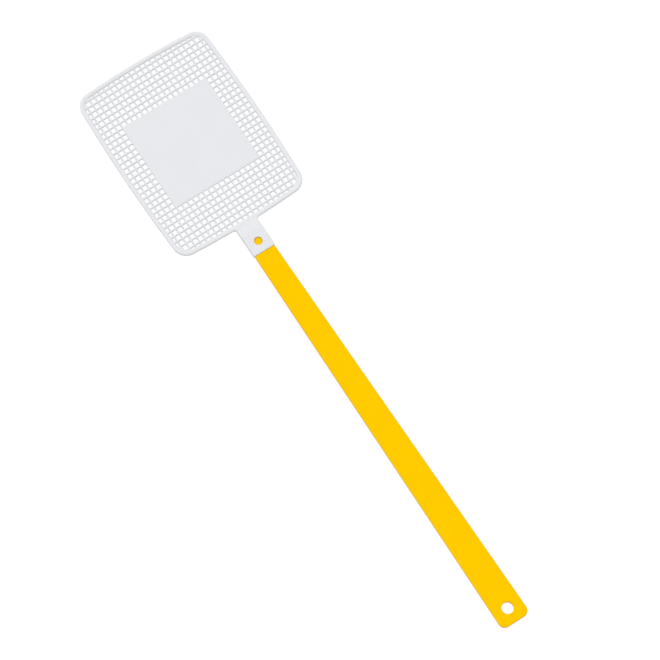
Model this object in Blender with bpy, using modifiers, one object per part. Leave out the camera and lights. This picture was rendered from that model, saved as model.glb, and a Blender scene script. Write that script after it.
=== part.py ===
"""Hand-held fly swatter: a white moulded head that snaps onto a flat yellow handle.

Metres, +Z up. The swatter lies flat, as on a table: +Y points to the tip of the head, Z = 0 is the
underside of the socket, and the origin is midway along the whole length. Both mouldings share one
parting plane, at half the thickness of the socket.
"""

import math

import bmesh
import bpy
from mathutils import Matrix, Vector

# --- head ---------------------------------------------------------------------------------------
HEAD_WIDTH = 0.1004          # across the rim, at the middle of the head
HEAD_HEIGHT = 0.1314         # along the rim, on the centre line
EDGE_BOW = 0.0018            # how far the middle of each side stands out past its ends
HEAD_CORNER_RADIUS = 0.0085
RIM_DIAMETER = 0.0030        # the rim is a round bead
MESH_THICKNESS = 0.0020
MESH_PITCH = 0.0040
BAR_WIDTH = 0.0011
PANEL_CELLS = 16             # the solid panel covers this many mesh cells each way
LEAST_OPENING = 0.0008       # a cell with less than this left beside the rim is moulded shut

# --- socket on the head, open towards the handle ------------------------------------------------
SOCKET_LENGTH = 0.0220       # from the outer edge of the rim to the open end
SOCKET_WIDTH = 0.0160
SOCKET_THICKNESS = 0.0046
SOCKET_SIDE_WALL = 0.0013
SOCKET_FACE_WALL = 0.0012
SOCKET_RAMP = 0.0045         # length over which the socket thins down to the rim
SOCKET_FILLET = 0.0015       # in the corners between the socket and the rim
STUD_HOLE_DIAMETER = 0.0056
STUD_HOLE_INSET = 0.0077     # hole centre to the open end

# --- handle -------------------------------------------------------------------------------------
HANDLE_LENGTH = 0.2909       # the part that shows, without the tongue
HANDLE_END_WIDTH = 0.0210
HANDLE_FRONT_WIDTH = 0.0150
HANDLE_THICKNESS = 0.0038
HANDLE_END_RADIUS = 0.0045
HANDLE_EDGE_RADIUS = 0.0005
TONGUE_LENGTH = 0.0205       # how far the tongue reaches into the socket
TONGUE_ROOT = 0.0030         # buried in the handle
TONGUE_TIP_CHAMFER = 0.0020
HANG_HOLE_DIAMETER = 0.0080
HANG_HOLE_INSET = 0.0102     # hole centre to the end of the handle

# --- fits ---------------------------------------------------------------------------------------
FIT_GAP = 0.0003             # between the tongue or the stud and the socket, all round
SHOULDER_GAP = 0.0003        # between the handle's shoulder and the socket's open end
TONGUE_TIP_GAP = 0.0005      # between the tongue's tip and the bottom of the socket
STUD_RECESS = 0.0008         # the stud's crown stays this far below the socket's face
STUD_EDGE_DROP = 0.0003      # the stud's crown falls this much towards its edge

# --- fineness of the round shapes ---------------------------------------------------------------
CORNER_STEPS = 8
SIDE_STEPS = 8
HOLE_SIDES = 40
OVERCUT = 0.0010             # how far a cutter runs past the face it cuts

# --- worked out ---------------------------------------------------------------------------------
TOTAL_LENGTH = HEAD_HEIGHT + SOCKET_LENGTH + SHOULDER_GAP + HANDLE_LENGTH
MID_Z = SOCKET_THICKNESS / 2
HEAD_CENTRE_Y = TOTAL_LENGTH / 2 - HEAD_HEIGHT / 2
RIM_FOOT_Y = TOTAL_LENGTH / 2 - HEAD_HEIGHT
SOCKET_END_Y = RIM_FOOT_Y - SOCKET_LENGTH
HANDLE_FRONT_Y = SOCKET_END_Y - SHOULDER_GAP
HANDLE_END_Y = -TOTAL_LENGTH / 2
CAVITY_WIDTH = SOCKET_WIDTH - 2 * SOCKET_SIDE_WALL
CAVITY_THICKNESS = SOCKET_THICKNESS - 2 * SOCKET_FACE_WALL
TONGUE_WIDTH = CAVITY_WIDTH - 2 * FIT_GAP
TONGUE_THICKNESS = CAVITY_THICKNESS - 2 * FIT_GAP
TONGUE_TIP_Y = SOCKET_END_Y + TONGUE_LENGTH
CAVITY_END_Y = TONGUE_TIP_Y + TONGUE_TIP_GAP
STUD_Y = SOCKET_END_Y + STUD_HOLE_INSET
STUD_BASE_Z = MID_Z + TONGUE_THICKNESS / 2 + FIT_GAP
STUD_TOP_Z = SOCKET_THICKNESS - STUD_RECESS

WHITE_PLASTIC = ("white_polypropylene", (0.80, 0.81, 0.82, 1.0), 0.45)
YELLOW_PLASTIC = ("yellow_polypropylene", (1.0, 0.60, 0.003, 1.0), 0.42)


def clear_scene():
    for old in list(bpy.data.objects):
        bpy.data.objects.remove(old, do_unlink=True)


def new_collection(name):
    collection = bpy.data.collections.new(name)
    bpy.context.scene.collection.children.link(collection)
    return collection


def plastic(name, colour, roughness):
    material = bpy.data.materials.new(name)
    material.use_nodes = True
    shader = material.node_tree.nodes["Principled BSDF"]
    shader.inputs["Base Color"].default_value = colour
    shader.inputs["Roughness"].default_value = roughness
    shader.inputs["Metallic"].default_value = 0.0
    return material


def add_mesh_object(name, mesh, collection):
    body = bpy.data.objects.new(name, mesh)
    collection.objects.link(body)
    return body


def solid_from_curve(curve_object, collection):
    """Turn a curve object into a closed mesh object that stands in the same place."""
    bpy.context.view_layer.update()
    evaluated = curve_object.evaluated_get(bpy.context.evaluated_depsgraph_get())
    mesh = bpy.data.meshes.new_from_object(evaluated)
    solid = bmesh.new()
    solid.from_mesh(mesh)
    bmesh.ops.remove_doubles(solid, verts=solid.verts, dist=1e-6)
    bmesh.ops.dissolve_limit(solid, angle_limit=math.radians(0.5), verts=solid.verts, edges=solid.edges)
    bmesh.ops.recalc_face_normals(solid, faces=solid.faces)
    solid.to_mesh(mesh)
    solid.free()
    body = add_mesh_object(curve_object.name + "_solid", mesh, collection)
    body.matrix_world = curve_object.matrix_world.copy()
    bpy.data.objects.remove(curve_object, do_unlink=True)
    return body


def flat_solid(name, outline, thickness, placement, collection):
    """A flat outline with an even thickness, centred on the plane that PLACEMENT gives."""
    curve = bpy.data.curves.new(name, "CURVE")
    curve.dimensions = "2D"
    curve.fill_mode = "BOTH"
    curve.extrude = thickness / 2
    spline = curve.splines.new("POLY")
    spline.points.add(len(outline) - 1)
    for point, (across, along) in zip(spline.points, outline):
        point.co = (across, along, 0.0, 1.0)
    spline.use_cyclic_u = True
    drawn = bpy.data.objects.new(name, curve)
    drawn.matrix_world = placement
    collection.objects.link(drawn)
    return solid_from_curve(drawn, collection)


def box(name, low, high, collection):
    mesh = bpy.data.meshes.new(name)
    solid = bmesh.new()
    add_box(solid, Vector(low), Vector(high))
    solid.to_mesh(mesh)
    solid.free()
    return add_mesh_object(name, mesh, collection)


def add_box(solid, low, high):
    size = high - low
    place = Matrix.Translation((low + high) / 2) @ Matrix.Diagonal((*size, 1.0))
    bmesh.ops.create_cube(solid, size=1.0, matrix=place)


def upright_cylinder(name, diameter, centre, low_z, high_z, collection):
    mesh = bpy.data.meshes.new(name)
    solid = bmesh.new()
    bmesh.ops.create_cone(solid, cap_ends=True, segments=HOLE_SIDES, radius1=diameter / 2,
                          radius2=diameter / 2, depth=high_z - low_z)
    solid.to_mesh(mesh)
    solid.free()
    cylinder = add_mesh_object(name, mesh, collection)
    cylinder.location = (centre[0], centre[1], (low_z + high_z) / 2)
    return cylinder


def combine(target, tool, operation):
    """Join TOOL to TARGET, cut it away or keep what they share, and show the tool as a guide."""
    step = target.modifiers.new(operation.lower() + "_" + tool.name, "BOOLEAN")
    step.operation = operation
    step.object = tool
    step.solver = "EXACT"
    tool.hide_render = True
    tool.display_type = "WIRE"


def arc(centre, radius, start, end, steps):
    """Points on an arc, angles in degrees, both ends included."""
    points = []
    for step in range(steps + 1):
        angle = math.radians(start + (end - start) * step / steps)
        points.append((centre[0] + radius * math.cos(angle), centre[1] + radius * math.sin(angle)))
    return points


def head_outline(inset):
    """Outline of the head about its centre, INSET inside the rim's outer edge.

    A rounded rectangle whose straight sides are then bowed: a point moves outwards across each side
    by EDGE_BOW at the side's middle, and by less towards the side's ends, as a parabola.
    """
    half_x = HEAD_WIDTH / 2 - EDGE_BOW - inset
    half_y = HEAD_HEIGHT / 2 - EDGE_BOW - inset
    radius = HEAD_CORNER_RADIUS - inset
    plain = []
    for quarter, (side_x, side_y) in enumerate(((1, 1), (-1, 1), (-1, -1), (1, -1))):
        centre = (side_x * (half_x - radius), side_y * (half_y - radius))
        corner = arc(centre, radius, 90 * quarter, 90 * quarter + 90, CORNER_STEPS)
        if plain:
            plain += between(plain[-1], corner[0])
        plain += corner
    plain += between(plain[-1], plain[0])
    bowed = []
    for x, y in plain:
        bow_x = EDGE_BOW / half_x * (1 - (y / half_y) ** 2)
        bow_y = EDGE_BOW / half_y * (1 - (x / half_x) ** 2)
        bowed.append((x * (1 + bow_x), y * (1 + bow_y)))
    return bowed


def between(start, end):
    """The points that divide a straight side, without its two ends."""
    steps = range(1, SIDE_STEPS)
    return [tuple(Vector(start).lerp(Vector(end), step / SIDE_STEPS)) for step in steps]


def is_inside(point, outline):
    """Whether POINT is inside a convex outline that runs anticlockwise."""
    corners = [Vector(corner) for corner in outline]
    sides = zip(corners, corners[1:] + corners[:1])
    return all((end - start).cross(point - start) > 0 for start, end in sides)


def mesh_cells():
    """Low and high corner of each open cell, about the centre of the head."""
    opening = head_outline(RIM_DIAMETER)
    columns = math.ceil(HEAD_WIDTH / 2 / MESH_PITCH)
    rows = math.ceil(HEAD_HEIGHT / 2 / MESH_PITCH)
    cells = []
    for column in range(-columns, columns):
        for row in range(-rows, rows):
            if in_panel(column) and in_panel(row):
                continue
            low = Vector((column * MESH_PITCH, row * MESH_PITCH)) + Vector((BAR_WIDTH, BAR_WIDTH)) / 2
            high = low + Vector((MESH_PITCH - BAR_WIDTH, MESH_PITCH - BAR_WIDTH))
            near_x = min(abs(low.x), abs(high.x)) + LEAST_OPENING
            near_y = min(abs(low.y), abs(high.y)) + LEAST_OPENING
            if is_inside(Vector((near_x, near_y)), opening):
                cells.append((low, high))
    return cells


def in_panel(index):
    return -PANEL_CELLS / 2 <= index < PANEL_CELLS / 2


def add_cell_cutter(collection):
    """All the open cells of the mesh, as one cutter."""
    mesh = bpy.data.meshes.new("cell_cutter")
    solid = bmesh.new()
    reach = MESH_THICKNESS / 2 + OVERCUT
    for low, high in mesh_cells():
        add_box(solid, Vector((low.x, low.y, -reach)), Vector((high.x, high.y, reach)))
    solid.to_mesh(mesh)
    solid.free()
    cutter = add_mesh_object("cell_cutter", mesh, collection)
    cutter.location = (0.0, HEAD_CENTRE_Y, MID_Z)
    return cutter


def add_rim(collection):
    """The rim: a round bead along the head's outline, its outer side on the head's outer edge."""
    curve = bpy.data.curves.new("rim", "CURVE")
    curve.dimensions = "3D"
    curve.bevel_depth = RIM_DIAMETER / 2
    curve.bevel_resolution = 2
    path = head_outline(RIM_DIAMETER / 2)
    spline = curve.splines.new("POLY")
    spline.points.add(len(path) - 1)
    for point, (x, y) in zip(spline.points, path):
        point.co = (x, y, 0.0, 1.0)
    spline.use_cyclic_u = True
    rim = bpy.data.objects.new("rim", curve)
    rim.location = (0.0, HEAD_CENTRE_Y, MID_Z)
    collection.objects.link(rim)
    return solid_from_curve(rim, collection)


def socket_plan():
    """The socket from above: straight sides that flare into the rim with a fillet on each side."""
    half = SOCKET_WIDTH / 2
    top = RIM_FOOT_Y + RIM_DIAMETER / 2
    flare_y = RIM_FOOT_Y - SOCKET_FILLET
    right = arc((half + SOCKET_FILLET, flare_y), SOCKET_FILLET, 180, 90, CORNER_STEPS)
    plan = [(half, SOCKET_END_Y)] + right + [(half + SOCKET_FILLET, top)]
    return plan + [(-x, y) for x, y in reversed(plan)]


def socket_side():
    """The socket from the side, as (y, z): full thickness, then a ramp down into the rim."""
    half = SOCKET_THICKNESS / 2
    ramp_y = RIM_FOOT_Y - SOCKET_RAMP + RIM_DIAMETER / 2
    end_y = RIM_FOOT_Y + RIM_DIAMETER / 2 + OVERCUT
    thin = MESH_THICKNESS / 2
    upper = [(SOCKET_END_Y, half), (ramp_y, half), (end_y, thin)]
    return [(y, z) for y, z in upper] + [(y, -z) for y, z in reversed(upper)]


def add_socket(collection):
    """The solid socket block: its plan and its side view, kept where the two meet."""
    plan_place = Matrix.Translation((0.0, 0.0, MID_Z))
    block = flat_solid("socket_plan", socket_plan(), SOCKET_THICKNESS + 2 * OVERCUT, plan_place, collection)
    turn = Matrix(((0, 0, 1, 0), (1, 0, 0, 0), (0, 1, 0, MID_Z), (0, 0, 0, 1)))
    wide = SOCKET_WIDTH + 4 * SOCKET_FILLET
    side = flat_solid("socket_side", socket_side(), wide, turn, collection)
    combine(block, side, "INTERSECT")
    return block


def build_head(parts, cutters):
    """The white moulding: mesh and panel, rim and socket in one piece."""
    place = Matrix.Translation((0.0, HEAD_CENTRE_Y, MID_Z))
    head = flat_solid("swatter_head", head_outline(RIM_DIAMETER / 2), MESH_THICKNESS, place, parts)
    head.name = "swatter_head"
    combine(head, add_cell_cutter(cutters), "DIFFERENCE")
    combine(head, add_rim(cutters), "UNION")
    combine(head, add_socket(cutters), "UNION")
    half_width = CAVITY_WIDTH / 2
    half_thickness = CAVITY_THICKNESS / 2
    cavity = box("socket_cavity", (-half_width, SOCKET_END_Y - OVERCUT, MID_Z - half_thickness),
                 (half_width, CAVITY_END_Y, MID_Z + half_thickness), cutters)
    combine(head, cavity, "DIFFERENCE")
    hole = upright_cylinder("stud_hole", STUD_HOLE_DIAMETER, (0.0, STUD_Y), MID_Z,
                            SOCKET_THICKNESS + OVERCUT, cutters)
    combine(head, hole, "DIFFERENCE")
    return head


def handle_plan():
    """The handle from above: it widens evenly to its end, whose corners are rounded."""
    half_front = HANDLE_FRONT_WIDTH / 2
    half_end = HANDLE_END_WIDTH / 2
    lean = math.degrees(math.atan2(half_end - half_front, HANDLE_LENGTH))
    radius = HANDLE_END_RADIUS
    # the corner arc touches the end line and the leaning side
    centre_x = half_end - radius * (1 + math.sin(math.radians(lean))) / math.cos(math.radians(lean))
    right = arc((centre_x, HANDLE_END_Y + radius), radius, -90, lean, CORNER_STEPS)
    right.append((half_front, HANDLE_FRONT_Y))
    return right + [(-x, y) for x, y in reversed(right)]


def tongue_plan():
    half = TONGUE_WIDTH / 2
    chamfer = TONGUE_TIP_CHAMFER
    right = [(half, HANDLE_FRONT_Y - TONGUE_ROOT), (half, TONGUE_TIP_Y - chamfer),
             (half - chamfer, TONGUE_TIP_Y)]
    return right + [(-x, y) for x, y in reversed(right)]


def build_handle(parts, cutters):
    """The yellow moulding: a flat tapered strip with a thin tongue on its front end."""
    place = Matrix.Translation((0.0, 0.0, MID_Z))
    handle = flat_solid("handle", handle_plan(), HANDLE_THICKNESS, place, parts)
    handle.name = "handle"
    rounding = handle.modifiers.new("rounded_edges", "BEVEL")
    rounding.width = HANDLE_EDGE_RADIUS
    rounding.segments = 2
    rounding.limit_method = "ANGLE"
    rounding.angle_limit = math.radians(40)
    tongue = flat_solid("tongue", tongue_plan(), TONGUE_THICKNESS, place, cutters)
    combine(handle, tongue, "UNION")
    hole = upright_cylinder("hang_hole", HANG_HOLE_DIAMETER, (0.0, HANDLE_END_Y + HANG_HOLE_INSET),
                            MID_Z - HANDLE_THICKNESS, MID_Z + HANDLE_THICKNESS, cutters)
    combine(handle, hole, "DIFFERENCE")
    return handle


def build_stud(parts):
    """The stud on the tongue that clicks into the socket's hole: a low crown, turned about Z."""
    radius = STUD_HOLE_DIAMETER / 2 - FIT_GAP
    crown_steps = 4
    profile = []
    for step in range(crown_steps + 1):
        reach = step / crown_steps
        profile.append((radius * reach, STUD_TOP_Z - STUD_BASE_Z - STUD_EDGE_DROP * reach ** 2))
    profile += [(radius, 0.0), (0.0, 0.0)]
    mesh = bpy.data.meshes.new("snap_stud")
    line = bmesh.new()
    corners = [line.verts.new((across, 0.0, up)) for across, up in profile]
    for start, end in zip(corners, corners[1:]):
        line.edges.new((start, end))
    line.to_mesh(mesh)
    line.free()
    stud = add_mesh_object("snap_stud", mesh, parts)
    stud.location = (0.0, STUD_Y, STUD_BASE_Z)
    turn = stud.modifiers.new("turned", "SCREW")
    turn.axis = "Z"
    turn.steps = HOLE_SIDES
    turn.render_steps = HOLE_SIDES
    turn.use_merge_vertices = True
    turn.merge_threshold = 0.00001
    return stud


def finish(body, material):
    body.data.materials.clear()
    body.data.materials.append(material)
    body.data.shade_smooth()
    body.data.set_sharp_from_angle(angle=math.radians(30))


def main():
    clear_scene()
    parts = new_collection("fly_swatter")
    cutters = new_collection("cutters")
    white = plastic(*WHITE_PLASTIC)
    yellow = plastic(*YELLOW_PLASTIC)
    finish(build_head(parts, cutters), white)
    handle = build_handle(parts, cutters)
    finish(handle, yellow)
    stud = build_stud(parts)
    finish(stud, yellow)
    # the head slides along Y: its slide starts at the socket's open end
    slide = bpy.data.objects.new("head_slide", None)
    slide.location = (0.0, SOCKET_END_Y, MID_Z)
    parts.objects.link(slide)
    bpy.context.view_layer.update()
    head = bpy.data.objects["swatter_head"]
    head.parent = slide
    head.matrix_parent_inverse = slide.matrix_world.inverted()


main()
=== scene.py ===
# Hand-held fly swatter: a white moulded head clicked onto a flat yellow handle.
# The frame gives every position; metres, +Y to the tip of the head, +Z up.
import math

import bmesh
import bpy
import numpy as np
from mathutils import Matrix, Vector


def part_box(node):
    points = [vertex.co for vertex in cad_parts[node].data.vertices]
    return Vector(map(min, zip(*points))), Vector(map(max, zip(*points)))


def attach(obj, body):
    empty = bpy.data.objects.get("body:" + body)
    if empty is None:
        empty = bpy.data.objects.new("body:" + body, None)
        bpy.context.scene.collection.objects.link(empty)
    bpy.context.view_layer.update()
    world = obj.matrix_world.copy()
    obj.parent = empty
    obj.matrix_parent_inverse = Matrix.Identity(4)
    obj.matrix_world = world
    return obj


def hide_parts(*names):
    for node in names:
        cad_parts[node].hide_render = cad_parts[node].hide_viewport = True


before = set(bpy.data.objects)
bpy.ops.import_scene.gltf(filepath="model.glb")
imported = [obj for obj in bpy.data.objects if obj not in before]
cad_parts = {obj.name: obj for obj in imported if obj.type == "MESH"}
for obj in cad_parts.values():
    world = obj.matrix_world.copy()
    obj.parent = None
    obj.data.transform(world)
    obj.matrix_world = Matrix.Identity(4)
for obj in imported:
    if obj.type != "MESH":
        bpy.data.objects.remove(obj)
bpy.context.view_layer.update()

headLow, headHigh = (np.array(corner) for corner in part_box("swatter_head"))
handleLow, handleHigh = (np.array(corner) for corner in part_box("handle"))
studLow, studHigh = (np.array(corner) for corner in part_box("snap_stud"))
midZ = (headLow[2] + headHigh[2]) / 2
print("frame loaded")

weldDistance = 2e-7             # points nearer than this are one point
creaseAngle = 38.0              # degrees; sharper edges than this stay crisp
cutOvershoot = 0.001            # how far a cutter stands out of the face that it cuts


def meshObject(name, points, quads, triangles=()):
    # one mesh from a stack of points and two stacks of faces, welded, faces turned outwards
    mesh = bpy.data.meshes.new(name)
    corners = np.concatenate([np.ravel(quads), np.ravel(triangles)]).astype(np.int32)
    sizes = np.concatenate([np.full(len(quads), 4), np.full(len(triangles), 3)]).astype(np.int32)
    mesh.vertices.add(len(points))
    mesh.vertices.foreach_set("co", np.ravel(points).astype(np.float32))
    mesh.loops.add(len(corners))
    mesh.loops.foreach_set("vertex_index", corners)
    mesh.polygons.add(len(sizes))
    mesh.polygons.foreach_set("loop_start", np.cumsum(sizes) - sizes)
    mesh.polygons.foreach_set("loop_total", sizes)
    mesh.update(calc_edges=True)
    mesh.validate()
    shell = bmesh.new()
    shell.from_mesh(mesh)
    bmesh.ops.remove_doubles(shell, verts=shell.verts, dist=weldDistance)
    bmesh.ops.recalc_face_normals(shell, faces=shell.faces)
    shell.to_mesh(mesh)
    shell.free()
    piece = bpy.data.objects.new(name, mesh)
    bpy.context.scene.collection.objects.link(piece)
    return piece


def gridQuads(rows, columns, closedRows=False):
    # faces of a grid of points that always closes along its columns
    row = np.arange(rows if closedRows else rows - 1)[:, None]
    column = np.arange(columns)[None, :]
    nextRow = (row + 1) % rows
    nextColumn = (column + 1) % columns
    quads = np.stack([row * columns + column, row * columns + nextColumn,
                      nextRow * columns + nextColumn, nextRow * columns + column], axis=-1)
    return quads.reshape(-1, 4)


def loftObject(name, rings):
    # rings is rows x columns x 3: each row is a closed ring, and both ends close on a middle point
    rows, columns, _ = rings.shape
    points = np.concatenate([rings.reshape(-1, 3), rings[:1].mean(axis=1), rings[-1:].mean(axis=1)])
    column = np.arange(columns)
    following = (column + 1) % columns
    start, end = rows * columns, rows * columns + 1
    last = (rows - 1) * columns
    fans = np.concatenate([np.stack([np.full(columns, start), following, column], axis=-1),
                           np.stack([np.full(columns, end), last + column, last + following], axis=-1)])
    return meshObject(name, points, gridQuads(rows, columns), fans)


def combined(target, steps):
    # joins, cuts or trims the target with each tool in turn, and keeps the finished mesh
    for tool, operation in steps:
        step = target.modifiers.new(operation, "BOOLEAN")
        step.operation = operation
        step.object = tool
        step.solver = "EXACT"
    evaluated = target.evaluated_get(bpy.context.evaluated_depsgraph_get())
    mesh = bpy.data.meshes.new_from_object(evaluated)
    target.modifiers.clear()
    target.data = mesh
    for tool, _ in steps:
        bpy.data.objects.remove(tool, do_unlink=True)
    return target


def softShading(piece):
    piece.data.shade_smooth()
    piece.data.set_sharp_from_angle(angle=math.radians(creaseAngle))


def quarterArc(steps=5):
    # angles from 0 to a right angle
    return np.linspace(0, np.pi / 2, steps + 1)


def stationsAfter(start, end, steps):
    # evenly spaced stations, the first one step past the start and the last at the end
    return np.linspace(start, end, steps + 1)[1:]


def smoothStep(value):
    # rises from 0 to 1, level at both ends
    value = np.clip(value, 0, 1)
    return value * value * (3 - 2 * value)


headLook = {
    "cornerRadius": 0.0085,     # outer edge of the rim
    "bow": 0.0018,              # the middle of each side stands out this far
    "rim": 0.0030,              # width and height of the bead
    "outerSquareness": 4.5,     # 2 is a round bead, more is a squarer one
    "innerSquareness": 2.6,     # the side towards the mesh slopes more
    "rimSides": 32,             # faces round the bead
    "partingRidge": 0.00003,    # where the mould halves meet
    "socketLength": 0.0220,
    "socketWidth": 0.0160,
    "socketEdge": 0.0007,
    "socketFillet": 0.0015,
    "rampLength": 0.0070,       # over which the socket thins towards the rim
    "rampOverrun": 0.0005,      # the ramp ends this far past the rim's foot
    "rampHeight": 0.0016,       # half thickness where the socket runs over the rim
    "rootReach": 0.0029,        # how far the socket runs on inside the rim
    "rootTaper": 0.0012,        # length over which its hidden end narrows
    "rootSpan": 0.0015,         # the taper and a short straight before it
    "rootHeight": 0.0011,       # half thickness of that end
    "mouthLip": 0.0004,         # rounding of the open end
    "cavityWidth": 0.0134,
    "cavityThickness": 0.0022,
    "cavityDepth": 0.0210,
    "cavityEdge": 0.0003,
    "rootSteps": 5,             # sections along each stretch of the socket
    "rampSteps": 25,
    "bodySteps": 7,
    "cavitySteps": 5,
    "studHole": 0.0056,
    "studHoleLip": 0.00025,
}

meshLook = {
    "pitch": 0.0040,            # one cell
    "bar": 0.0011,
    "thickness": 0.0020,
    "panelCells": 16,           # along each side of the solid panel
    "leastOpening": 0.0008,     # cells that the rim leaves less of are filled
    "holeCorner": 0.00012,
    "lip": 0.00045,             # rounding of each bar's edges
    "draft": 0.00005,           # the opening is narrower at half depth
    "tileSteps": 4,             # faces along each side of a plain tile
}

headTip = headHigh[1]
socketEnd = headLow[1]
headHalfX = (headHigh[0] - headLow[0]) / 2
headHalfY = (headTip - socketEnd - headLook["socketLength"]) / 2
headCentre = np.array([0.0, headTip - headHalfY, midZ])
rimFoot = socketEnd + headLook["socketLength"]
studY = (studLow[1] + studHigh[1]) / 2


def atHeight(flat, height):
    # flat points with a third value
    return np.column_stack([flat, np.full(len(flat), height)])


def bowedOutline(inset, cornerSteps=24, sideSteps=60):
    # a rounded rectangle, inset from the rim's outer edge; each point then moves outwards by the
    # bow times one minus the square of how far it is along its side
    halfX = headHalfX - headLook["bow"] - inset
    halfY = headHalfY - headLook["bow"] - inset
    radius = headLook["cornerRadius"] - inset
    angles = np.radians(np.linspace(0, 90, cornerSteps + 1) + [[0], [90], [180], [270]])
    signs = np.array([[1, 1], [-1, 1], [-1, -1], [1, -1]])[:, None, :]
    arcs = signs * (np.array([halfX, halfY]) - radius)
    arcs = arcs + radius * np.stack([np.cos(angles), np.sin(angles)], -1)
    share = (np.arange(1, sideSteps) / sideSteps)[None, :, None]
    sides = arcs[:, -1:] * (1 - share) + np.roll(arcs, -1, axis=0)[:, :1] * share
    plain = np.concatenate([arcs, sides], axis=1).reshape(-1, 2)
    swell = headLook["bow"] / np.array([halfX, halfY]) * (1 - (plain[:, ::-1] / [halfY, halfX]) ** 2)
    return plain * (1 + swell)


def outwardNormals(outline):
    # across the line between a point's two neighbours, on an outline that runs anticlockwise
    along = np.roll(outline, -1, axis=0) - np.roll(outline, 1, axis=0)
    across = np.stack([along[:, 1], -along[:, 0]], -1)
    return across / np.linalg.norm(across, axis=1, keepdims=True)


def insideOutline(points, outline):
    # on the inner side of every stretch of a convex outline
    stretch = np.roll(outline, -1, axis=0) - outline
    offset = points[:, None, :] - outline[None, :, :]
    return np.all(stretch[:, 0] * offset[..., 1] - stretch[:, 1] * offset[..., 0] > 0, axis=1)


def quarterTurns(points):
    # the same points turned by 0, 90, 180 and 270 degrees, one after another
    x, y = points.T
    return np.concatenate([points, np.stack([-y, x], -1), -points, np.stack([y, -x], -1)])


def holeRing(half, radius):
    # 16 points round a square opening: three on each corner's arc and one in the middle of a side
    flat = half - radius
    diagonal = flat + radius * math.sqrt(0.5)
    return quarterTurns(np.array([[-diagonal, -diagonal], [-flat, -half], [0, -half], [flat, -half]]))


def meshPlate():
    # square tiles, one for each cell: an open tile carries a profile round its opening, from the
    # tile's edge over the lip, down the drafted wall and back under; the others are plain. The
    # tile's edge has as many points as the opening
    look = meshLook
    pitch, steps = look["pitch"], look["tileSteps"]
    columns = math.ceil(headHalfX / pitch) - 1
    rows = math.ceil(headHalfY / pitch) - 1
    column, row = np.meshgrid(np.arange(-columns, columns), np.arange(-rows, rows))
    centres = (np.stack([column.ravel(), row.ravel()], -1) + 0.5) * pitch
    half, lip, top = (pitch - look["bar"]) / 2, look["lip"], look["thickness"] / 2
    nearCorner = np.abs(centres) - half + look["leastOpening"]
    inPanel = np.all(np.abs(centres) < look["panelCells"] / 2 * pitch, axis=1)
    isOpen = insideOutline(nearCorner, bowedOutline(headLook["rim"])) & ~inPanel

    edge = quarterTurns(np.array([[-0.5, -0.5], [-0.25, -0.5], [0, -0.5], [0.25, -0.5]]) * pitch)
    corner = look["holeCorner"]
    profile = [(edge, top), (holeRing(half + lip, corner + lip), top),
               (holeRing(half, corner), top - lip), (holeRing(half - look["draft"], corner), 0.0)]
    profile += [(ring, -height) for ring, height in profile[2::-1]]
    rings = np.stack([atHeight(ring, height) for ring, height in profile])
    openPlaces = atHeight(centres[isOpen], 0)
    openPoints = (openPlaces[:, None, None, :] + rings).reshape(-1, 3)
    openTile = gridQuads(len(profile), len(edge))
    openQuads = openTile[None] + (np.arange(len(openPlaces)) * len(profile) * len(edge))[:, None, None]

    across = steps + 1
    marks = np.linspace(-0.5, 0.5, across) * pitch
    flat = np.stack(np.meshgrid(marks, marks), -1).reshape(-1, 2)
    plainTile = np.concatenate([atHeight(flat, top), atHeight(flat, -top)])
    plainPlaces = atHeight(centres[~isOpen], 0)
    plainPoints = (plainPlaces[:, None, :] + plainTile).reshape(-1, 3)
    start = (np.arange(steps)[:, None] * across + np.arange(steps)[None, :]).ravel()
    face = np.stack([start, start + 1, start + across + 1, start + across], -1)
    faces = np.concatenate([face, face[:, ::-1] + len(flat)])
    plainQuads = faces[None] + (np.arange(len(plainPlaces)) * len(plainTile))[:, None, None]

    # a wall closes the outer edge of the field of tiles
    alongX = np.linspace(-columns, columns, 2 * steps * columns + 1) * pitch
    alongY = np.linspace(-rows, rows, 2 * steps * rows + 1) * pitch
    low, high = np.array([-columns, -rows]) * pitch, np.array([columns, rows]) * pitch
    loop = np.concatenate([np.column_stack([alongX[:-1], np.full(len(alongX) - 1, low[1])]),
                           np.column_stack([np.full(len(alongY) - 1, high[0]), alongY[:-1]]),
                           np.column_stack([alongX[:0:-1], np.full(len(alongX) - 1, high[1])]),
                           np.column_stack([np.full(len(alongY) - 1, low[0]), alongY[:0:-1]])])
    wallPoints = np.concatenate([atHeight(loop, top), atHeight(loop, -top)])
    wallQuads = gridQuads(2, len(loop))

    points = np.concatenate([openPoints, plainPoints, wallPoints]) + headCentre
    quads = np.concatenate([openQuads.reshape(-1, 4), plainQuads.reshape(-1, 4) + len(openPoints),
                            wallQuads + len(openPoints) + len(plainPoints)])
    return meshObject("headMoulding", points, quads)


def headTrim():
    # straight walls on the rim's middle line, past both faces: what lies outside is cut away
    outline = bowedOutline(headLook["rim"] / 2)
    rings = np.stack([atHeight(outline, headLook["rim"]), atHeight(outline, -headLook["rim"])])
    return loftObject("headTrim", rings + headCentre)


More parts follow.
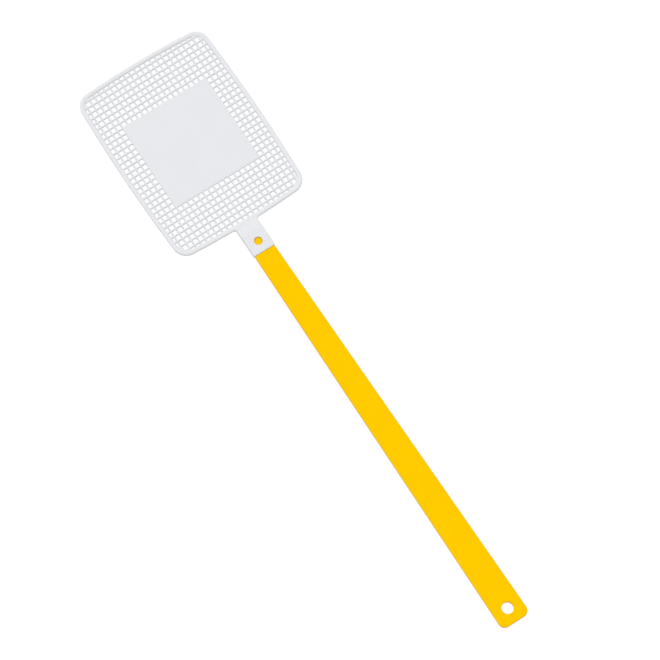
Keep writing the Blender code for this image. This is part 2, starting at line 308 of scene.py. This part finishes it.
def rimBead():
    # a rounded profile carried along the rim's middle line: its reach at each angle is that of a
    # superellipse, with a fine ridge on the outer side where the mould halves meet
    radius = headLook["rim"] / 2
    outline = bowedOutline(radius)
    normals = outwardNormals(outline)
    angle = np.linspace(0, 2 * np.pi, headLook["rimSides"], endpoint=False)
    cosine, sine = np.cos(angle), np.sin(angle)
    power = np.where(cosine > 0, headLook["outerSquareness"], headLook["innerSquareness"])
    reach = radius * (np.abs(cosine) ** power + np.abs(sine) ** power) ** (-1 / power)
    reach = np.where(angle == 0, reach + headLook["partingRidge"], reach)
    across, up = reach * cosine, reach * sine
    flat = outline[:, None, :] + across[None, :, None] * normals[:, None, :]
    points = np.concatenate([flat, np.broadcast_to(up[None, :, None], flat.shape[:2] + (1,))], -1)
    quads = gridQuads(len(outline), headLook["rimSides"], closedRows=True)
    return meshObject("rimBead", points.reshape(-1, 3) + headCentre, quads)


def roundedSections(halfX, halfZ, radius, y, cornerSteps=6, sideShares=(0.06, 0.35, 0.65, 0.94)):
    # one rounded rectangle for each station along Y; the first and last of the points along a side
    # are close to its corners, so that the shading stays flat between them
    halfX, halfZ, radius, y = (np.asarray(value, float)[:, None] for value in (halfX, halfZ, radius, y))
    angles = quarterArc(cornerSteps)
    arcs = []
    for turn, (signX, signZ) in enumerate(((1, 1), (-1, 1), (-1, -1), (1, -1))):
        x = signX * (halfX - radius) + radius * np.cos(angles + turn * np.pi / 2)
        z = signZ * (halfZ - radius) + radius * np.sin(angles + turn * np.pi / 2)
        arcs.append(np.stack([x, z], -1))
    share = np.array(sideShares)[None, :, None]
    loop = []
    for arc, following in zip(arcs, arcs[1:] + arcs[:1]):
        loop += [arc, arc[:, -1:] * (1 - share) + following[:, :1] * share]
    loop = np.concatenate(loop, axis=1)
    depth = np.broadcast_to(y[..., None], loop.shape[:2] + (1,))
    return np.concatenate([loop[..., :1], depth, loop[..., 1:] + midZ], -1)


def socketBlock():
    # one skin: from inside the rim down the outside to the open end, over the lip and back up the
    # cavity. Width flares into the rim on a quarter circle; thickness falls on a smooth ramp
    look = headLook
    halfX, halfZ = look["socketWidth"] / 2, (headHigh[2] - headLow[2]) / 2
    fillet, lip, taper = look["socketFillet"], look["mouthLip"], look["rootTaper"]
    rootEnd = rimFoot + look["rootReach"]
    rampStart = rimFoot - look["rampLength"]
    outerY = np.concatenate([rootEnd - taper * (1 - np.cos(quarterArc())),
                             stationsAfter(rootEnd - look["rootSpan"], rimFoot, look["rootSteps"]),
                             stationsAfter(rimFoot, rampStart, look["rampSteps"]),
                             stationsAfter(rampStart, socketEnd + lip, look["bodySteps"])])
    flareDepth = np.clip(outerY - (rimFoot - fillet), 0, fillet)
    outerX = halfX + fillet - np.sqrt(fillet ** 2 - flareDepth ** 2)
    outerX -= fillet * smoothStep((outerY - rimFoot) / (rootEnd - rimFoot))
    ramp = smoothStep((outerY - rampStart) / (look["rampLength"] + look["rampOverrun"]))
    outerZ = halfZ - (halfZ - look["rampHeight"]) * ramp
    narrowing = np.clip((outerY - rootEnd) / taper + 1, 0, 1) ** 3
    outerZ -= (look["rampHeight"] - look["rootHeight"]) * narrowing
    outerEdge = np.full(len(outerY), look["socketEdge"])

    # the lip turns a quarter circle outside and another inside, then the cavity runs straight
    turn = quarterArc()[1:]
    innerX, innerZ, innerEdge = look["cavityWidth"] / 2, look["cavityThickness"] / 2, look["cavityEdge"]
    outward = lip * (1 - np.cos(turn))
    inward = lip * (1 - np.sin(turn - turn[0]))
    deep = stationsAfter(socketEnd + lip, socketEnd + look["cavityDepth"], look["cavitySteps"])
    level = np.zeros(len(deep))
    y = np.concatenate([outerY, socketEnd + lip * (1 - np.sin(turn)),
                        socketEnd + lip * (1 - np.cos(turn - turn[0])), deep])
    x = np.concatenate([outerX, halfX - outward, innerX + inward, innerX + level])
    z = np.concatenate([outerZ, halfZ - outward, innerZ + inward, innerZ + level])
    edge = np.concatenate([outerEdge, look["socketEdge"] - outward / 2,
                           innerEdge + inward, innerEdge + level])
    return loftObject("socketBlock", roundedSections(x, z, edge, y))


def turnedObject(name, profile, centre, sides=96):
    # a profile of (radius, height) carried round the vertical line through the centre
    angle = np.linspace(0, 2 * np.pi, sides, endpoint=False)
    radius, height = np.array(profile).T[:, :, None]
    height = np.broadcast_to(height, (len(profile), sides))
    rings = np.stack([radius * np.cos(angle), radius * np.sin(angle), height], -1)
    return loftObject(name, rings + np.array(centre))


def studHoleCutter():
    # a plug with a flared top, so that the hole's edge comes out rounded
    radius, lip = headLook["studHole"] / 2, headLook["studHoleLip"]
    top = headHigh[2]
    turn = quarterArc(steps=6)
    flare = np.column_stack([radius + lip * (1 - np.cos(turn)), top - lip + lip * np.sin(turn)])
    profile = np.concatenate([[[radius, midZ]], flare, [[radius + lip, top + cutOvershoot]]])
    return turnedObject("studHoleCutter", profile, (0, studY, 0))


def buildHead():
    head = meshPlate()
    combined(head, [(headTrim(), "INTERSECT"), (rimBead(), "UNION"), (socketBlock(), "UNION"),
                    (studHoleCutter(), "DIFFERENCE")])
    softShading(head)
    return head


handleLook = {
    "frontWidth": 0.0150,
    "endWidth": 0.0210,
    "endRadius": 0.0045,
    "frontRadius": 0.0012,
    "edgeRadius": 0.0006,
    "flatBorder": 1.7,          # a ring of points this many edge radii in keeps the faces flat
    "partingRidge": 0.00003,
    "tongueLength": 0.0205,     # from the socket's mouth to the tip
    "shoulderGap": 0.00003,     # between the strip's front end and the mouth
    "tongueWidth": 0.0128,
    "tongueThickness": 0.0016,
    "tongueEdge": 0.00025,
    "tongueRoot": 0.0030,       # inside the strip
    "tipChamfer": 0.0020,
    "hangHole": 0.0080,
    "hangHoleInset": 0.0102,
    "holeLip": 0.0004,
    "studCrown": 0.0002,        # fall from the middle to the edge
    "studRoot": 0.0004,         # inside the tongue
    "studFillet": 0.0003,
    "studRounding": 0.0002,
    "studReach": 0.00015,       # past the plain stud, into half of its clearance
    "crownMiddle": 0.04,        # share of the crown's radius that its flat middle takes
    "crownSteps": 8,
    "frontSteps": 8,            # along each arc and side of the outline
    "sideSteps": 89,
    "endSteps": 24,
}

handleEnd = handleLow[1]
handleFront = handleHigh[1] - handleLook["tongueLength"] - handleLook["shoulderGap"]


def handleHalfOutline():
    # the left edge from the front to the end: an arc, the tapering side, then a larger arc, each arc
    # touching the two straight lines that it joins
    look = handleLook
    halfFront, halfEnd = look["frontWidth"] / 2, look["endWidth"] / 2
    lean = math.atan2(halfEnd - halfFront, handleFront - handleEnd)
    front, rear = look["frontRadius"], look["endRadius"]
    frontX = halfFront - front * (1 - math.sin(lean)) / math.cos(lean)
    rearX = halfEnd - rear * (1 + math.sin(lean)) / math.cos(lean)
    corner = np.linspace(np.pi / 2, np.pi - lean, look["frontSteps"] + 1)
    frontArc = np.column_stack([-frontX + front * np.cos(corner), handleFront - front * (1 - np.sin(corner))])
    corner = np.linspace(np.pi - lean, 3 * np.pi / 2, look["endSteps"] + 1)
    rearArc = np.column_stack([-rearX + rear * np.cos(corner), handleEnd + rear * (1 + np.sin(corner))])
    share = stationsAfter(0, 1, look["sideSteps"])[:-1, None]
    return np.concatenate([frontArc, frontArc[-1] * (1 - share) + rearArc[0] * share, rearArc])


def handleStrip():
    # a rounded edge profile carried round the outline, with rungs across the flat faces between the
    # points that face each other
    look = handleLook
    left = handleHalfOutline()
    count = len(left)
    outline = np.concatenate([left, left[::-1] * [-1, 1]])
    normals = outwardNormals(outline)
    normals[[0, count - 1, count, 2 * count - 1]] = [[0, 1], [0, -1], [0, -1], [0, 1]]
    half, edge = (handleHigh[2] - handleLow[2]) / 2, look["edgeRadius"]
    turn = quarterArc()
    rounded = np.column_stack([edge * (1 - np.sin(turn)), half - edge * (1 - np.cos(turn))])
    upper = np.concatenate([[[look["flatBorder"] * edge, half]], rounded])
    profile = np.concatenate([upper, [[-look["partingRidge"], 0]], upper[::-1] * [1, -1]])
    points = np.stack([atHeight(outline - normals * inset, height) for inset, height in profile])
    rung = np.arange(count - 1)
    top = np.stack([rung, rung + 1, 2 * count - 2 - rung, 2 * count - 1 - rung], -1)
    bottom = top[:, ::-1] + (len(profile) - 1) * 2 * count
    quads = np.concatenate([gridQuads(len(profile), 2 * count), top, bottom])
    return meshObject("handleMoulding", points.reshape(-1, 3) + [0, 0, midZ], quads)


def hangHoleCutter():
    # a waisted plug: the hole's edges come out rounded on both faces
    look = handleLook
    radius, lip = look["hangHole"] / 2, look["holeLip"]
    half = (handleHigh[2] - handleLow[2]) / 2
    turn = quarterArc()
    upper = np.column_stack([radius + lip * (1 - np.cos(turn)), half - lip * (1 - np.sin(turn))])
    upper = np.concatenate([[[radius, 0]], upper, [[radius + lip, half + cutOvershoot]]])
    profile = np.concatenate([upper[::-1], upper[1:] * [1, -1]])
    return turnedObject("hangHoleCutter", profile, (0, handleEnd + look["hangHoleInset"], midZ))


def handleTongue():
    # a thin rounded blade: full width to the chamfer, then narrowing, with a lead-in at the tip
    look = handleLook
    tip = handleHigh[1]
    chamfer, lead = look["tipChamfer"], look["tongueEdge"]
    root = handleFront - look["tongueRoot"]
    y = np.array([root, handleFront, tip - chamfer, tip - chamfer / 2, tip - lead, tip])
    narrow = np.clip(y - (tip - chamfer), 0, None)
    halfX = look["tongueWidth"] / 2 - narrow
    halfZ = np.full(len(y), look["tongueThickness"] / 2)
    halfZ[-1] -= lead
    edge = np.full(len(y), look["tongueEdge"])
    return loftObject("tongue", roundedSections(halfX, halfZ, edge, y))


def snapStud():
    # a low crown: its top falls as a parabola, rounds over at the edge and flares into the tongue
    look = handleLook
    radius, crown = (studHigh[0] - studLow[0]) / 2 + look["studReach"], studHigh[2]
    base = midZ + look["tongueThickness"] / 2
    rounding, fillet = look["studRounding"], look["studFillet"]
    reach = np.linspace(look["crownMiddle"], 1, look["crownSteps"] + 1) * (radius - rounding)
    shoulder = crown - look["studCrown"]
    crownPart = np.column_stack([reach, crown - (crown - shoulder) * (reach / reach[-1]) ** 2])
    turn = quarterArc()[1:]
    short, tall = 1 - np.sin(turn), 1 - np.cos(turn)
    edgePart = np.column_stack([radius - rounding * short, shoulder - rounding * tall])
    footPart = np.column_stack([radius + fillet * tall, base + fillet * short])
    rootPart = np.array([[radius + fillet, base - look["studRoot"]]])
    profile = np.concatenate([crownPart, edgePart, footPart, rootPart])
    return turnedObject("stud", profile, (0, studY, 0))


def buildHandle():
    handle = handleStrip()
    combined(handle, [(hangHoleCutter(), "DIFFERENCE"), (handleTongue(), "UNION"), (snapStud(), "UNION")])
    softShading(handle)
    return handle


def linearColour(hexText):
    # sRGB hex to the linear values that the shader takes
    parts = [int(hexText[place:place + 2], 16) / 255 for place in (1, 3, 5)]
    linear = [part / 12.92 if part <= 0.04045 else ((part + 0.055) / 1.055) ** 2.4 for part in parts]
    return (*linear, 1.0)


def addNode(tree, kind, settings, links=()):
    # settings holds properties by name and input values by socket; links are (socket, from node, output)
    node = tree.nodes.new(kind)
    for name, value in settings.items():
        if isinstance(name, str) and hasattr(node, name):
            setattr(node, name, value)
        else:
            node.inputs[name].default_value = value
    for socket, source, output in links:
        tree.links.new(source.outputs[output], node.inputs[socket])
    return node


def newMaterial(name):
    material = bpy.data.materials.new(name)
    material.use_nodes = True
    tree = material.node_tree
    return material, tree, tree.nodes["Principled BSDF"]


polypropylene = {
    "ior": 1.49,
    "lightReach": 0.001,        # metres that light passes into it
    "cloudDetail": 3.0,
    "cloudRoughness": 0.5,
    "tintRange": (0.3, 0.7),    # cloud values that take the shade and the full colour
    "polishRange": (0.25, 0.75),
    "roughnessSpread": 0.05,    # cloudy places are this much rougher or smoother
    "grainSize": 0.00025,       # mould grit is nearer 0.05 mm; drawn coarser so that it shows close up
    "grainDepth": 0.00002,
    "grainDetail": 2.0,
}


def mouldedPolypropylene(name, look):
    # injection-moulded polypropylene: satin from the sparked mould, a little cloudy where the melt
    # flowed, with light passing about a millimetre into it
    material, tree, shader = newMaterial(name)
    plastic = polypropylene
    place = addNode(tree, "ShaderNodeTexCoord", {})
    cloud = addNode(tree, "ShaderNodeTexNoise",
                    {"Scale": 1 / look["cloudSize"], "Detail": plastic["cloudDetail"],
                     "Roughness": plastic["cloudRoughness"]},
                    [("Vector", place, "Object")])
    tint = addNode(tree, "ShaderNodeValToRGB", {}, [("Fac", cloud, "Fac")])
    stops = zip(tint.color_ramp.elements, plastic["tintRange"], (look["shade"], look["colour"]))
    for stop, position, colour in stops:
        stop.position = position
        stop.color = linearColour(colour)
    tree.links.new(tint.outputs["Color"], shader.inputs["Base Color"])
    smoothest, roughest = plastic["polishRange"]
    spread = plastic["roughnessSpread"]
    polish = addNode(tree, "ShaderNodeMapRange",
                     {"From Min": smoothest, "From Max": roughest,
                      "To Min": look["roughness"] - spread, "To Max": look["roughness"] + spread},
                     [("Value", cloud, "Fac")])
    tree.links.new(polish.outputs["Result"], shader.inputs["Roughness"])
    grain = addNode(tree, "ShaderNodeTexNoise",
                    {"Scale": 1 / plastic["grainSize"], "Detail": plastic["grainDetail"]},
                    [("Vector", place, "Object")])
    bump = addNode(tree, "ShaderNodeBump",
                   {"Strength": look["grainStrength"], "Distance": plastic["grainDepth"]},
                   [("Height", grain, "Fac")])
    tree.links.new(bump.outputs["Normal"], shader.inputs["Normal"])
    shader.inputs["IOR"].default_value = plastic["ior"]
    shader.inputs["Specular IOR Level"].default_value = look["specular"]
    shader.inputs["Specular Tint"].default_value = linearColour(look["specularTint"])
    shader.inputs["Subsurface Weight"].default_value = look["subsurface"]
    shader.inputs["Subsurface Radius"].default_value = look["subsurfaceRadius"]
    shader.inputs["Subsurface Scale"].default_value = plastic["lightReach"]
    return material


whiteLook = {
    "colour": "#E7E8EB",
    "shade": "#E6E7EA",
    "cloudSize": 0.018,         # flow clouds a finger's width across
    "grainStrength": 0.25,
    "roughness": 0.42,
    "specular": 0.35,
    "specularTint": "#FFFFFF",
    "subsurface": 0.12,
    "subsurfaceRadius": (1.0, 1.0, 1.0),    # of lightReach, for red, green and blue
}

yellowLook = {
    "colour": "#FFCB00",
    "shade": "#FFC900",
    "cloudSize": 0.025,
    "grainStrength": 0.2,
    "roughness": 0.38,
    "specular": 0.15,
    "specularTint": "#FFC81E",  # keeps the soft reflections yellow, as the pigment does
    "subsurface": 0.05,
    "subsurfaceRadius": (1.0, 0.6, 0.1),
}


def paperFloor(look):
    # a lit white sweep: the diffuse part takes the soft shadow, the glow keeps the paper white
    material, _, shader = newMaterial("litWhitePaper")
    shader.inputs["Base Color"].default_value = linearColour(look["colour"])
    shader.inputs["Roughness"].default_value = look["roughness"]
    shader.inputs["Specular IOR Level"].default_value = 0.0
    shader.inputs["Emission Color"].default_value = linearColour("#FFFFFF")
    shader.inputs["Emission Strength"].default_value = look["glow"]
    return material


stageLook = {
    "size": 6.0,
    "gap": 0.0002,              # under the socket, the lowest part
    "colour": "#6C6C6C",
    "roughness": 0.9,
    "glow": 0.90,
}

lightLook = {
    "zenith": 0.87,             # soft light from all round, brightest overhead
    "horizon": 0.735,
    "below": 0.70,
    "horizonBlend": 0.1,        # share of the height over which the ground's level sets in
    "keyStrength": 0.80,        # one large soft lamp beyond the head's tip
    "keyAzimuth": -15.0,        # from +Y towards +X
    "keyElevation": 48.0,
    "keyAngle": 35.0,
}

cameraLook = {
    "azimuth": 43.11,           # view direction, from +Y towards +X
    "elevation": 73.05,
    "roll": 10.13,
    "distance": 2.871,
    "aim": (0.00640, 0.00183, 0.0023),
    "lens": 243.4,              # millimetres
    "sensor": 36.0,             # its width in millimetres
    "nearest": 0.1,
    "farthest": 50.0,
}


def addFloor():
    # one large square, just under the swatter
    corners = quarterTurns(np.array([[stageLook["size"] / 2, stageLook["size"] / 2]]))
    floor = meshObject("floor", atHeight(corners, -stageLook["gap"]), np.array([[0, 1, 2, 3]]))
    if floor.data.polygons[0].normal.z < 0:
        floor.data.flip_normals()
    floor.data.materials.append(paperFloor(stageLook))
    floor.visible_diffuse = False       # it takes the shadow, and doesn't throw light back up
    floor.visible_glossy = False


def direction(azimuth, elevation):
    # azimuth is from +Y towards +X, elevation up from level
    around, up = math.radians(azimuth), math.radians(elevation)
    return Vector((math.sin(around) * math.cos(up), math.cos(around) * math.cos(up), math.sin(up)))


def addLights():
    look = lightLook
    world = bpy.data.worlds.new("softRoom")
    bpy.context.scene.world = world
    world.use_nodes = True
    tree = world.node_tree
    back = tree.nodes["Background"]
    back.inputs["Color"].default_value = linearColour("#FFFFFF")
    place = addNode(tree, "ShaderNodeTexCoord", {})
    height = addNode(tree, "ShaderNodeSeparateXYZ", {}, [("Vector", place, "Generated")])
    above = addNode(tree, "ShaderNodeMapRange", {"To Min": look["horizon"], "To Max": look["zenith"]},
                    [("Value", height, "Z")])
    level = addNode(tree, "ShaderNodeMapRange",
                    {"interpolation_type": "SMOOTHSTEP", "From Min": -look["horizonBlend"],
                     "From Max": 0.0, "To Min": look["below"]},
                    [("Value", height, "Z"), ("To Max", above, "Result")])
    tree.links.new(level.outputs["Result"], back.inputs["Strength"])
    lamp = bpy.data.lights.new("key", "SUN")
    lamp.energy = look["keyStrength"]
    lamp.angle = math.radians(look["keyAngle"])
    key = bpy.data.objects.new("key", lamp)
    towardsKey = direction(look["keyAzimuth"], look["keyElevation"])
    key.rotation_euler = towardsKey.to_track_quat("Z", "Y").to_euler()
    bpy.context.scene.collection.objects.link(key)


def addCamera():
    look = cameraLook
    lens = bpy.data.cameras.new("camera")
    lens.lens = look["lens"]
    lens.sensor_width = look["sensor"]
    lens.clip_start, lens.clip_end = look["nearest"], look["farthest"]
    camera = bpy.data.objects.new("camera", lens)
    sight = direction(look["azimuth"], -look["elevation"])
    level = sight.cross(Vector((0, 0, 1))).normalized()
    above = level.cross(sight)
    roll = math.radians(look["roll"])
    right = level * math.cos(roll) + above * math.sin(roll)
    place = Matrix((right, right.cross(sight), -sight)).transposed().to_4x4()
    place.translation = Vector(look["aim"]) - sight * look["distance"]
    camera.matrix_world = place
    bpy.context.scene.collection.objects.link(camera)
    bpy.context.scene.camera = camera


addCamera()
head = buildHead()
head.data.materials.clear()
head.data.materials.append(mouldedPolypropylene("whiteMouldedPolypropylene", whiteLook))
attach(head, "head")
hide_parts("swatter_head")
print("head made,", len(head.data.polygons), "faces")

handle = buildHandle()
handle.data.materials.clear()
handle.data.materials.append(mouldedPolypropylene("yellowMouldedPolypropylene", yellowLook))
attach(handle, "handle")
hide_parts("handle", "snap_stud")
print("handle made,", len(handle.data.polygons), "faces")

addFloor()
addLights()
bpy.context.scene.view_settings.view_transform = "Standard"
print("stage, light and camera set")
